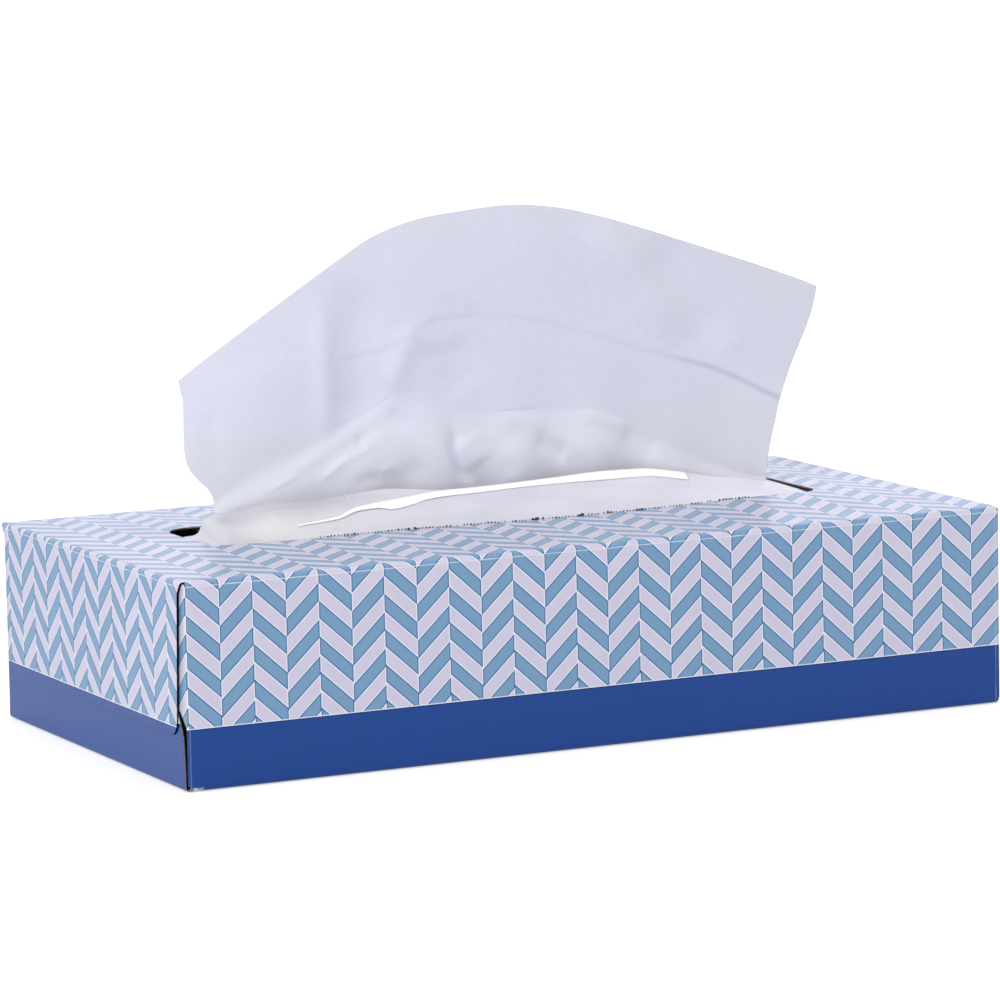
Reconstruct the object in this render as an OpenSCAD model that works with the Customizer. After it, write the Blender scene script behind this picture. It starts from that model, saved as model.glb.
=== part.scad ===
// Flat tissue box: a folded and glued board carton with a long opening in its top, a slit film
// glued behind the opening, the pack of folded sheets, and the two sheets that stand in the slit.
// The origin is the centre of the carton's base. X is the long side, -Y the front, +Z up.

/* [Carton] */
// Length of the closed carton
carton_l = 230; // [220:1:260]
// Depth of the closed carton from front to rear
carton_d = 122; // [112:1:145]
// Height of the closed carton
carton_h = 52; // [46:1:80]
// Thickness of the board
board_t = 0.5; // [0.4:0.05:0.6]
// Outer radius of every fold in the board
fold_r = 1.2; // [1:0.1:2]

/* [End flaps] */
// Free length of the upper flap, which is glued outside
upper_flap_l = 38; // [25:1:40]
// Free length of the lower flap, which is glued behind the upper one
lower_flap_l = 36; // [25:1:38]
// Free width of each dust flap, folded in from the front and the rear panel
dust_flap_w = 45; // [20:1:50]
// How far the upper flap stands in from the carton's sides at its fold
upper_flap_inset = 1.4; // [1:0.1:3]
// How far the lower flap stands in from the base panel's cut edge at its fold
lower_flap_inset = 0.3; // [0.2:0.1:2]
// How much further in a flap's sides are at its free end
flap_taper = 3; // [0.5:0.5:6]
// Radius of the free corners of the upper and lower flaps
flap_corner_r = 4; // [2:0.5:8]
// How far a dust flap's edges slope in at its free end
dust_slope = 5; // [1:0.5:10]

/* [Glue seam] */
// Width of the seam flap, glued on the base panel along the rear edge
seam_w = 14; // [8:1:20]
// Distance from the rear face to the base panel's cut edge
seam_setback = 1.5; // [1.4:0.1:2.4]

/* [Opening and film] */
// Distance from each end of the carton to the opening
opening_inset = 27; // [24:0.5:40]
// Size of the opening from front to rear
opening_d = 38; // [30:1:50]
// Corner radius of the opening
opening_r = 8; // [4:0.5:14]
// Thickness of the film
film_t = 0.3; // [0.2:0.05:0.4]
// Width of the film's glued border
film_border = 14; // [8:1:18]
// Thickness of the glue line between the film and the board
glue_t = 0.05; // [0.02:0.01:0.1]
// Distance from each end of the opening to the slit
slit_inset = 4; // [3:0.5:8]
// Height to which the sheets push the film's front lip
front_lip_h = 9; // [4:0.5:12]
// Height to which the sheets push the film's rear lip
rear_lip_h = 6; // [3:0.5:12]
// Half width of the slit at its ends
slit_end_gap = 1.4; // [1.2:0.1:2]
// Half width of the slit between its raised lips
slit_mid_gap = 5; // [4.4:0.2:7]

/* [Pack] */
// Free room between the pack and each end wall
end_room = 12; // [6:0.5:20]
// Free room between the pack and the front and the rear wall
side_room = 8; // [4:0.5:12]
// Free room between the pack and the film
head_room = 7; // [6:0.5:12]
// Height of one bundle of folded sheets, a rib on the pack's front and rear
bundle_h = 4; // [2:0.5:6]
// How far the folded edges of a bundle stand out
bundle_bulge = 0.6; // [0.2:0.1:1.2]

/* [Sheets] */
// Length that every sheet is cut to
tissue_l = 210; // [200:1:225]
// Thickness of a sheet
tissue_t = 0.3; // [0.2:0.05:0.35]
// Free room between two sheets that lie on the pack
leaf_gap = 0.2; // [0.1:0.05:0.4]
// Free room between the sheets and each end of the slit
slit_room = 2.5; // [2:0.5:6]
// Free room between the two sheets in the slit
sheet_gap = 1.3; // [1:0.1:1.6]
// Depth of the gathers where the sheets pass the slit
gather_d = 1.2; // [0.6:0.1:1.4]

/* [Popped sheet] */
// Height of the left corner over the carton's top
left_corner_h = 41.5; // [34:0.5:60]
// Height of the right corner over the carton's top
right_corner_h = 54; // [34:0.5:60]
// Rise of the top edge from the left corner, for each millimetre along the carton
left_rise = 0.6; // [0.3:0.02:0.7]
// Rise of the top edge from the right corner, for each millimetre along the carton
right_rise = 0.355; // [0.2:0.005:0.6]
// How gently the top edge turns over between its two slopes
crown_soft = 16; // [8:1:20]
// How far the left corner stands out past the sheet's foot
left_flare = 8; // [2:0.5:12]
// How far the right corner stands out past the sheet's foot
right_flare = 14; // [2:0.5:16]
// How far the top of the sheet leans to the rear
lean = 7; // [2:0.5:12]
// How far the two sides of the sheet fall forward
side_fall = 9; // [2:0.5:14]
// Depth of the long fold on the left
left_fold_d = 2.5; // [0:0.5:4]
// How far the sheet stands back to the right of the slanting fold
right_fold_d = 3.5; // [0:0.5:6]

/* [Next sheet] */
// Height of the hump over the carton's top
hump_h = 27; // [16:1:32]
// Height of the small peak on the hump
hump_peak_h = 7; // [0:0.5:8]
// How far the hump puffs forward
puff = 3; // [1:0.5:6]

/* [Hidden] */
$fn = 48;
GATHERS = 7;
POPPED_COLS = 42;
POPPED_ROWS = 20;
NEXT_COLS = 36;
NEXT_ROWS = 9;
FILM_COLS = 36;
FILM_ROWS = 8;
RIB_STEPS = 4;
CORNER_STEPS = 8;

half_l = carton_l / 2;
half_d = carton_d / 2;
top_under = carton_h - board_t;
// The dust flaps lie two layers of board in from the end faces
tube_half = half_l - 2 * board_t - fold_r;
side_half = half_d - fold_r;
seam_z = board_t + fold_r;
opening_l = carton_l - 2 * opening_inset;
film_l = opening_l + 2 * film_border;
film_d = opening_d + 2 * film_border;
film_z = top_under - glue_t - film_t / 2;
// The film stays flat this far inside the opening's edge
film_flat = 0.2;
slit_half = opening_l / 2 - slit_inset;
foot_half = slit_half - slit_room;
pack_l = carton_l - 2 * (3 * board_t + end_room);
pack_d = carton_d - 2 * (board_t + side_room);
pack_base = 2 * board_t;
pack_top = top_under - glue_t - film_t - head_room;
leaf_pitch = tissue_t + leaf_gap;
// Radius of the bend from the pack up to the slit
bend_r = 3;
// The leaves are folded this far inside the pack's edges
leaf_inset = 1;
// Place along the pack at which a leaf has opened to its full width
leaf_open_y = 12;
left_top_x = -foot_half - left_flare;
right_top_x = foot_half + right_flare;

function mix(a, b, s) = a + (b - a) * s;
function ease(a, b, s) = let (k = min(1, max(0, (s - a) / (b - a)))) k * k * (3 - 2 * k);
function soft_min(a, b, k) = -k * ln(exp(-a / k) + exp(-b / k));
function hill(s, at, width) = exp(-pow((s - at) / width, 2));

// A quarter turn of board about Z, from +X to +Y
module fold(length) {
    rotate_extrude(angle = 90) translate([fold_r - board_t, 0]) square([board_t, length]);
}

// A fold along X over the tube, at the rear top, with its centre on the X axis
module long_fold() {
    translate([-tube_half, 0, 0]) rotate([90, 0, 90]) fold(2 * tube_half);
}

// Flap outline: root centred on X, free end at +Y, sides drawn in and corners rounded
module flap_outline(root_half, length) {
    drift = atan(flap_taper / length);
    tip_half = root_half - flap_taper;
    centre = [tip_half - flap_corner_r * tan(45 - drift / 2), length - flap_corner_r];
    side = concat([[root_half, 0]], [
        for (i = [0 : CORNER_STEPS]) let (a = mix(drift, 90, i / CORNER_STEPS))
            centre + flap_corner_r * [cos(a), sin(a)]
    ]);
    polygon(concat(side, [for (i = [len(side) - 1 : -1 : 0]) [-side[i][0], side[i][1]]]));
}

// The four long panels, their folds and the seam flap
module tube() {
    front_h = carton_h - 2 * fold_r;
    rear_h = carton_h - fold_r - seam_z;
    translate([-tube_half, -side_half, top_under]) cube([2 * tube_half, 2 * side_half, board_t]);
    translate([-tube_half, -half_d, fold_r]) cube([2 * tube_half, board_t, front_h]);
    translate([-tube_half, half_d - board_t, seam_z]) cube([2 * tube_half, board_t, rear_h]);
    translate([-tube_half, -side_half, 0])
        cube([2 * tube_half, side_half + half_d - seam_setback, board_t]);
    translate([-tube_half, side_half - seam_w, board_t]) cube([2 * tube_half, seam_w, board_t]);
    translate([0, side_half, carton_h - fold_r]) long_fold();
    translate([0, -side_half, carton_h - fold_r]) mirror([0, 1, 0]) long_fold();
    translate([0, -side_half, fold_r]) mirror([0, 1, 0]) mirror([0, 0, 1]) long_fold();
    translate([0, side_half, seam_z]) mirror([0, 0, 1]) long_fold();
}

// A flap that hangs from the top panel over the -X end, with its outer face at the given X
module end_flap(face_x, root_half, length) {
    run = tube_half + face_x + fold_r;
    translate([face_x + fold_r, -root_half, top_under]) cube([-run, 2 * root_half, board_t]);
    translate([face_x + fold_r, root_half, carton_h - fold_r])
        mirror([1, 0, 0]) rotate([90, 0, 0]) fold(2 * root_half);
    translate([face_x + board_t, 0, carton_h - fold_r])
        rotate([-90, 0, 90]) linear_extrude(board_t) flap_outline(root_half, length);
}

// A dust flap that turns in from the front panel behind the -X end
module dust_flap(low_z) {
    high_z = carton_h - fold_r;
    translate([-tube_half, -side_half, low_z])
        mirror([1, 0, 0]) mirror([0, 1, 0]) fold(high_z - low_z);
    translate([-half_l + 2 * board_t, -side_half, 0])
        rotate([90, 0, 90]) linear_extrude(board_t) polygon([
            [0, low_z], [dust_flap_w, low_z + dust_slope],
            [dust_flap_w, high_z - dust_slope], [0, high_z]
        ]);
}

// The closed -X end: dust flaps inside, then the lower flap, then the upper flap outside
module end_closure() {
    end_flap(-half_l, half_d - upper_flap_inset, upper_flap_l);
    translate([0, 0, carton_h]) mirror([0, 0, 1])
        end_flap(-half_l + board_t, half_d - seam_setback - lower_flap_inset, lower_flap_l);
    dust_flap(fold_r);
    mirror([0, 1, 0]) dust_flap(seam_z);
}

module opening_outline() {
    square([opening_l - 2 * opening_r, opening_d], center = true);
    square([opening_l, opening_d - 2 * opening_r], center = true);
    for (x = [-1, 1], y = [-1, 1])
        translate([x * (opening_l / 2 - opening_r), y * (opening_d / 2 - opening_r)])
            circle(r = opening_r);
}

module carton() {
    color("lightsteelblue") difference() {
        union() {
            tube();
            end_closure();
            mirror([1, 0, 0]) end_closure();
        }
        translate([0, 0, top_under - board_t]) linear_extrude(3 * board_t) opening_outline();
    }
}

// Unit normal of a grid of points at row r and column c
function grid_normal(g, r, c) =
    let (
        across = g[r][min(c + 1, len(g[0]) - 1)] - g[r][max(c - 1, 0)],
        along = g[min(r + 1, len(g) - 1)][c] - g[max(r - 1, 0)][c],
        n = cross(across, along)
    ) n / norm(n);

// Both skins and the rim of a sheet, over the cells of its grid for which has_cell is true
function sheet_faces(rows, cols, has_cell) =
    let (
        k = rows * cols,
        has = function (r, c)
            r >= 0 && c >= 0 && r < rows - 1 && c < cols - 1 && has_cell(r, c)
    )
    [
        for (r = [0 : rows - 2], c = [0 : cols - 2]) if (has(r, c))
            let (a = r * cols + c, b = a + 1, d = a + cols, e = d + 1) each [
                [a, d, e], [a, e, b], [a + k, e + k, d + k], [a + k, b + k, e + k],
                if (!has(r - 1, c)) each [[a, b, b + k], [a, b + k, a + k]],
                if (!has(r + 1, c)) each [[e, d, d + k], [e, d + k, e + k]],
                if (!has(r, c - 1)) each [[d, a, a + k], [d, a + k, d + k]],
                if (!has(r, c + 1)) each [[b, e, e + k], [b, e + k, b + k]]
            ]
    ];

// A closed sheet of thickness t around a grid of points, with its thickness along normals
module sheet(g, t, normals, has_cell = function (r, c) true) {
    skins = [
        for (side = [1, -1], r = [0 : len(g) - 1], c = [0 : len(g[0]) - 1])
            g[r][c] + normals[r][c] * side * t / 2
    ];
    polyhedron(skins, sheet_faces(len(g), len(g[0]), has_cell), convexity = 6);
}

// A sheet with its thickness square to its surface
module soft_sheet(g, t) {
    sheet(g, t, [
        for (r = [0 : len(g) - 1]) [for (c = [0 : len(g[0]) - 1]) grid_normal(g, r, c)]
    ]);
}

// How far the film's lips stand raised and apart at x, from 0 at the slit's ends to 1
function lip_share(x) = abs(x) < slit_half ? 1 - pow(abs(x) / slit_half, 6) : 0;

// Half a column of film at x, from its outer edge in to the slit
function film_column(x, lip_h) =
    let (
        share = lip_share(x),
        lip_y = mix(slit_end_gap, slit_mid_gap, share),
        start_y = opening_d / 2 - film_flat
    )
    concat(
        [[x, film_d / 2, film_z]],
        [
            for (i = [0 : FILM_ROWS]) let (w = i / FILM_ROWS)
                [x, mix(start_y, lip_y, w), film_z + lip_h * share * pow(w, 1.8)]
        ]
    );

module slit_film() {
    xs = concat(
        [-film_l / 2, -opening_l / 2],
        [for (i = [0 : FILM_COLS]) mix(-slit_half, slit_half, i / FILM_COLS)],
        [opening_l / 2, film_l / 2]
    );
    front = [for (x = xs) film_column(x, front_lip_h)];
    rear = [for (x = xs) film_column(x, rear_lip_h)];
    last = len(front[0]) - 1;
    g = concat(
        [for (i = [0 : last]) [for (p = front) [for (q = [p[i]]) [q[0], -q[1], q[2]]][0]]],
        [for (i = [last : -1 : 0]) [for (p = rear) p[i]]]
    );
    up = [for (row = g) [for (p = row) [0, 0, 1]]];
    slit = function (r, c) r == last && c >= 2 && c < 2 + FILM_COLS;
    color("whitesmoke") sheet(g, film_t, up, function (r, c) !slit(r, c));
}

// The pack's profile: folded edges as ribs on both sides
module pack_profile() {
    ribs = round((pack_top - pack_base) / bundle_h);
    rib_h = (pack_top - pack_base) / ribs;
    side = [
        for (i = [0 : ribs * RIB_STEPS])
            [
                pack_d / 2 - bundle_bulge * (1 - abs(sin(180 * i / RIB_STEPS))),
                pack_base + rib_h * i / RIB_STEPS
            ]
    ];
    polygon(concat(side, [for (i = [len(side) - 1 : -1 : 0]) [-side[i][0], side[i][1]]]));
}

module tissue_stack() {
    color("snow") translate([-pack_l / 2, 0, 0])
        rotate([90, 0, 90]) linear_extrude(pack_l) pack_profile();
}

// Height of the popped sheet's top edge over the slit, at the share u from left to right
function top_over_slit(u) =
    let (x = mix(left_top_x, right_top_x, u))
    carton_h - film_z + soft_min(
        left_corner_h + left_rise * (x - left_top_x),
        right_corner_h + right_rise * (right_top_x - x),
        crown_soft
    );

// Gathers at the slit, which open out towards the top edge
function gathers(u, v) = gather_d * sin(360 * GATHERS * u) * 4 * u * (1 - u) * pow(1 - v, 2);

// The long fold on the left and the slanting one on the right
function long_folds(u, v) =
    left_fold_d * hill(u, 0.27, 0.035) * ease(0.25, 0.6, v)
    + right_fold_d * ease(0, 0.12, u - mix(0.95, 0.62, v)) * v;

// A point of the popped sheet: u from left to right, v from the slit to the top edge
function popped_point(u, v) =
    [
        mix(-foot_half - left_flare * ease(0.15, 0.55, v), foot_half + right_flare * pow(v, 1.6), u),
        sheet_gap / 2 + lean * v - side_fall * pow(2 * u - 1, 2) * v * v
            + gathers(u, v) + long_folds(u, v),
        film_z + top_over_slit(u) * v
    ];

// Height of the next sheet's upper edge over the slit
function hump_over_slit(u) =
    2 + hump_peak_h * hill(u, 0.36, 0.045)
    + soft_min(soft_min(hump_h * u / 0.32, hump_h * (1 - u) / 0.32, 2), hump_h, 2);

// A point of the next sheet: it follows the popped one and puffs forward
function next_point(u, w) =
    let (p = popped_point(u, w * hump_over_slit(u) / top_over_slit(u)))
    [p[0], p[1] - sheet_gap - puff * ease(0.3, 1, w) * sin(180 * u), p[2]];

function leaf_z(k) = pack_top + leaf_pitch * (k - 0.5);

// How a sheet runs below the slit: places y, z and how far it has opened to its full width.
// It bends onto the pack, lies to the fold at the pack's edge, and runs back under itself.
function tuck(upper_z, under_z, end_y) =
    let (fold_y = pack_d / 2 - leaf_inset, r = (upper_z - under_z) / 2)
    concat(
        [for (a = [0 : 30 : 90]) [bend_r * (1 - cos(a)), upper_z + bend_r * (1 - sin(a)), a / 180]],
        [[leaf_open_y, upper_z, 1]],
        [for (a = [0 : 45 : 180]) [fold_y + r * sin(a), under_z + r * (1 + cos(a)), 1]],
        [[end_y, under_z, 1]]
    );

// The hidden rows of a sheet, from its far end up to the slit; side is 1 to the rear, -1 to the front
function hidden_rows(foot, stations, side) =
    [
        for (i = [len(stations) - 1 : -1 : 0])
            let (s = stations[i])
            [
                for (p = foot)
                    [
                        mix(p[0], p[0] / foot_half * pack_l / 2, s[2]),
                        mix(p[1], 0, s[2]) + side * s[0],
                        s[1]
                    ]
            ]
    ];

module popped_tissue() {
    standing = [
        for (r = [0 : POPPED_ROWS])
            [for (c = [0 : POPPED_COLS]) popped_point(c / POPPED_COLS, r / POPPED_ROWS)]
    ];
    upper_z = leaf_z(3);
    used = top_over_slit(0.5) + film_z - upper_z + pack_d / 2;
    stations = tuck(upper_z, leaf_z(2), pack_d / 2 - (tissue_l - used));
    color("white") soft_sheet(concat(hidden_rows(standing[0], stations, 1), standing), tissue_t);
}

module next_tissue() {
    standing = [
        for (r = [0 : NEXT_ROWS])
            [for (c = [0 : NEXT_COLS]) next_point(c / NEXT_COLS, r / NEXT_ROWS)]
    ];
    stations = tuck(leaf_z(3), leaf_z(1), leaf_inset - pack_d / 2);
    color("ivory") soft_sheet(concat(hidden_rows(standing[0], stations, -1), standing), tissue_t);
}

carton();
slit_film();
tissue_stack();
popped_tissue();
next_tissue();
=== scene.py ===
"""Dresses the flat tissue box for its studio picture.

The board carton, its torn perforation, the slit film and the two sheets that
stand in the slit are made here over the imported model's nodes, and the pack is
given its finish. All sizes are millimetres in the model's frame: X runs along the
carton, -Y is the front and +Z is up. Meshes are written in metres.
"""

import logging
import math
from collections.abc import Callable, Sequence
from dataclasses import dataclass
from enum import Enum

import bmesh
import bpy
import numpy as np
from mathutils import Matrix, Vector, noise


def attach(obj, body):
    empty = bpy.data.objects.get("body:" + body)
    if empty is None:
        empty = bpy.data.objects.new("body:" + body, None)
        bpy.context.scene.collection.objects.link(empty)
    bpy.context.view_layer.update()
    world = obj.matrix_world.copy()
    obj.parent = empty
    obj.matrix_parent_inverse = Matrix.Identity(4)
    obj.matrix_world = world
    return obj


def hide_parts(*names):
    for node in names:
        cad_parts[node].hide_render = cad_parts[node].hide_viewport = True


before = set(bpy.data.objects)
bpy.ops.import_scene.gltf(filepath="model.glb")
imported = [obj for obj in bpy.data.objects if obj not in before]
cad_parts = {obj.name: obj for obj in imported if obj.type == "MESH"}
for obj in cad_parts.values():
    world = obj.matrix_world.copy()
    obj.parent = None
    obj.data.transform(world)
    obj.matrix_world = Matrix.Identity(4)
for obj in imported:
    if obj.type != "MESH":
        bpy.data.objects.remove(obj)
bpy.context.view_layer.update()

MM = 0.001
ROOT = "root"

Colour = tuple[float, float, float]
Stations = Sequence[tuple[float, float]]
Array = np.ndarray
Mesh = bmesh.types.BMesh
Object = bpy.types.Object
Material = bpy.types.Material
Socket = bpy.types.NodeSocket
Tree = bpy.types.NodeTree
Node = bpy.types.Node
log = logging.getLogger("tissue_box")

WHITE: Colour = (1.0, 1.0, 1.0)
END_PRINT = 1000.0
PATTERN_SIZES = (
    "Column", "Rise", "Period rise", "Period fall", "Start rise", "Start fall", "Drift", "Origin",
)


def mix(a: float, b: float, s: Array | float) -> Array | float:
    """The value a share s of the way from a to b."""
    return a + (b - a) * s


def ease(a: float, b: float, s: Array) -> Array:
    """A smooth step from 0 at a to 1 at b."""
    k = np.clip((s - a) / (b - a), 0.0, 1.0)
    return k * k * (3.0 - 2.0 * k)


def hill(s: Array, at: float, width: float) -> Array:
    """A smooth bump of height 1 at a place."""
    return np.exp(-(((s - at) / width) ** 2))


def through(stations: Stations, x: Array) -> Array:
    """A smooth curve through given stations, with no overshoot.

    Args:
        stations: pairs of place and value, places rising.
        x: places at which the curve is read.

    Returns:
        The curve's values, level beyond its two ends.
    """
    px, py = np.array(stations, dtype=float).T
    x = np.clip(np.asarray(x, dtype=float), px[0], px[-1])
    step = np.diff(px)
    slope = np.diff(py) / step
    m = np.zeros_like(py)
    same = slope[:-1] * slope[1:] > 0
    both = np.where(same, slope[:-1] + slope[1:], 1.0)
    m[1:-1] = np.where(same, 2.0 * slope[:-1] * slope[1:] / both, 0.0)
    m[0], m[-1] = slope[0], slope[-1]
    i = np.clip(np.searchsorted(px, x, side="right") - 1, 0, len(step) - 1)
    t = (x - px[i]) / step[i]
    a = (1 + 2 * t) * (1 - t) ** 2
    b = t * (1 - t) ** 2
    c = t * t * (3 - 2 * t)
    d = t * t * (t - 1)
    return a * py[i] + b * step[i] * m[i] + c * py[i + 1] + d * step[i] * m[i + 1]


def rimmed(low: float, high: float, count: int, rim: float) -> Array:
    """Even stations with one more beside each end.

    The extra stations hold the shading of a cut edge close to the edge.
    """
    even = np.linspace(low, high, count + 1)
    return np.array([low, low + rim, *even[1:-1], high - rim, high])


def wander(x: Array, pitch: float, seed: float) -> Array:
    """Smooth noise from -1 to 1 along a line.

    Args:
        x: places along the line.
        pitch: distance over which the noise changes.
        seed: picks one line of noise out of many.
    """
    flat = np.ravel(x)
    values = [noise.noise(Vector((v / pitch, seed, 0.37))) for v in flat]
    return np.array(values).reshape(np.shape(x))


def linear(red: int, green: int, blue: int) -> Colour:
    """The linear colour of screen values from 0 to 255."""

    def one(v: int) -> float:
        s = v / 255.0
        return s / 12.92 if s <= 0.04045 else ((s + 0.055) / 1.055) ** 2.4

    return (one(red), one(green), one(blue))


class Slot(Enum):
    """The record's material slots."""

    BOARD = "printed_board"
    FILM = "film"
    TISSUE = "tissue"


class CartonFace(Enum):
    """Where in the carton's material slots a face's own finish starts."""

    # An outer flap's cut edge lands two slots on, on the painted shade, so it shows black like the
    # shadowed gap beside it.
    OUTER_FLAP = 3
    # The near-black slot is painted shade, standing in for the dark gaps at the carton's ends.
    GAP = 5


class Side(Enum):
    """The two closed ends of the carton."""

    LEFT = -1
    RIGHT = 1


class Graph:
    """Adds nodes to one shader tree and joins them up."""

    def __init__(self, tree: Tree) -> None:
        """Args: tree: the node tree that the nodes go into."""
        self.tree = tree

    def node(self, kind: str, **settings: object) -> Node:
        """A new node of a kind, with its settings."""
        made = self.tree.nodes.new(kind)
        for name, value in settings.items():
            setattr(made, name, value)
        return made

    def feed(self, socket: Socket, value: object) -> None:
        """Sets a socket to a number, or links another socket to it."""
        if isinstance(value, Socket):
            self.tree.links.new(value, socket)
        elif value is not None:
            socket.default_value = value

    def sum(self, operation: str, a: object, b: object = None) -> Socket:
        """One Math node's result."""
        made = self.node("ShaderNodeMath", operation=operation)
        for socket, value in zip(made.inputs, (a, b)):
            self.feed(socket, value)
        return made.outputs[0]

    def minus(self, a: object, b: object) -> Socket:
        """What is left of a number without another."""
        return self.sum("SUBTRACT", a, b)

    def times(self, a: object, b: object) -> Socket:
        """Two numbers multiplied."""
        return self.sum("MULTIPLY", a, b)

    def least(self, a: object, b: object) -> Socket:
        """The lower of two numbers."""
        return self.sum("MINIMUM", a, b)

    def most(self, a: object, b: object) -> Socket:
        """The higher of two numbers."""
        return self.sum("MAXIMUM", a, b)

    def object_place(self) -> Socket:
        """Coordinates on the object, in metres."""
        return self.node("ShaderNodeTexCoord").outputs["Object"]

    def axes(self, place: object) -> tuple[Socket, ...]:
        """The three numbers of a place."""
        split = self.node("ShaderNodeSeparateXYZ")
        self.feed(split.inputs[0], place)
        return tuple(split.outputs)

    def attribute(self, name: str) -> Socket:
        """A number that the mesh keeps at each vertex."""
        return self.node("ShaderNodeAttribute", attribute_name=name).outputs["Fac"]

    def blend(self, share: object, a: object, b: object) -> Socket:
        """A colour a share of the way from a to b."""
        made = self.node("ShaderNodeMix", data_type="RGBA")
        made.clamp_factor = True
        self.feed(made.inputs[0], share)
        for socket, value in ((made.inputs[6], a), (made.inputs[7], b)):
            if isinstance(value, tuple):
                value = (*value, 1.0)
            self.feed(socket, value)
        return made.outputs[2]

    def choose(self, share: object, a: object, b: object) -> Socket:
        """A number a share of the way from a to b."""
        made = self.node("ShaderNodeMix", data_type="FLOAT")
        self.feed(made.inputs[0], share)
        self.feed(made.inputs[2], a)
        self.feed(made.inputs[3], b)
        return made.outputs[0]

    def step(self, value: object, low: float, high: float) -> Socket:
        """A ramp from 0 at low to 1 at high, which may run backwards."""
        made = self.node("ShaderNodeMapRange", clamp=True)
        for socket, number in zip(made.inputs, (value, low, high, 0.0, 1.0)):
            self.feed(socket, number)
        return made.outputs[0]

    def near(self, value: object, at: float, half: float) -> Socket:
        """A mask that is 1 where a value lies within half of a place."""
        gap = self.sum("ABSOLUTE", self.minus(value, at))
        return self.step(gap, half * 1.4, half * 0.6)

    def grain(self, place: object, scale: float, detail: float = 2.0, rough: float = 0.5) -> Socket:
        """Noise from 0 to 1.

        Args:
            place: coordinates that the noise reads.
            scale: features in a unit of those coordinates.
            detail: octaves of noise.
            rough: how strong the finer octaves are.
        """
        made = self.node("ShaderNodeTexNoise")
        self.feed(made.inputs["Vector"], place)
        made.inputs["Scale"].default_value = scale
        made.inputs["Detail"].default_value = detail
        made.inputs["Roughness"].default_value = rough
        return made.outputs["Fac"]

    def stretch(self, place: object, scale: tuple[float, float, float]) -> Socket:
        """Coordinates scaled along their three axes."""
        made = self.node("ShaderNodeMapping")
        self.feed(made.inputs["Vector"], place)
        made.inputs["Scale"].default_value = scale
        return made.outputs[0]

    def bump(self, height: object, strength: float, distance: float) -> Socket:
        """The normal that a height gives, distance in metres."""
        made = self.node("ShaderNodeBump")
        made.inputs["Strength"].default_value = strength
        made.inputs["Distance"].default_value = distance
        self.feed(made.inputs["Height"], height)
        return made.outputs[0]


def new_group(name: str, inputs: Sequence[str], outputs: Sequence[str]) -> tuple[Tree, Node, Node]:
    """A shader node group whose sockets are all numbers.

    Returns:
        The group's tree, its input node and its output node.
    """
    tree = bpy.data.node_groups.new(name, "ShaderNodeTree")
    for way, words in (("INPUT", inputs), ("OUTPUT", outputs)):
        for word in words:
            tree.interface.new_socket(word, in_out=way, socket_type="NodeSocketFloat")
    return (tree, tree.nodes.new("NodeGroupInput"), tree.nodes.new("NodeGroupOutput"))


def new_material(name: str) -> tuple[Material, Graph, Node]:
    """A material with a bare Principled shader.

    Returns:
        The material, its graph and its Principled node.
    """
    made = bpy.data.materials.new(name)
    made.use_nodes = True
    graph = Graph(made.node_tree)
    return made, graph, made.node_tree.nodes["Principled BSDF"]


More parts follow.
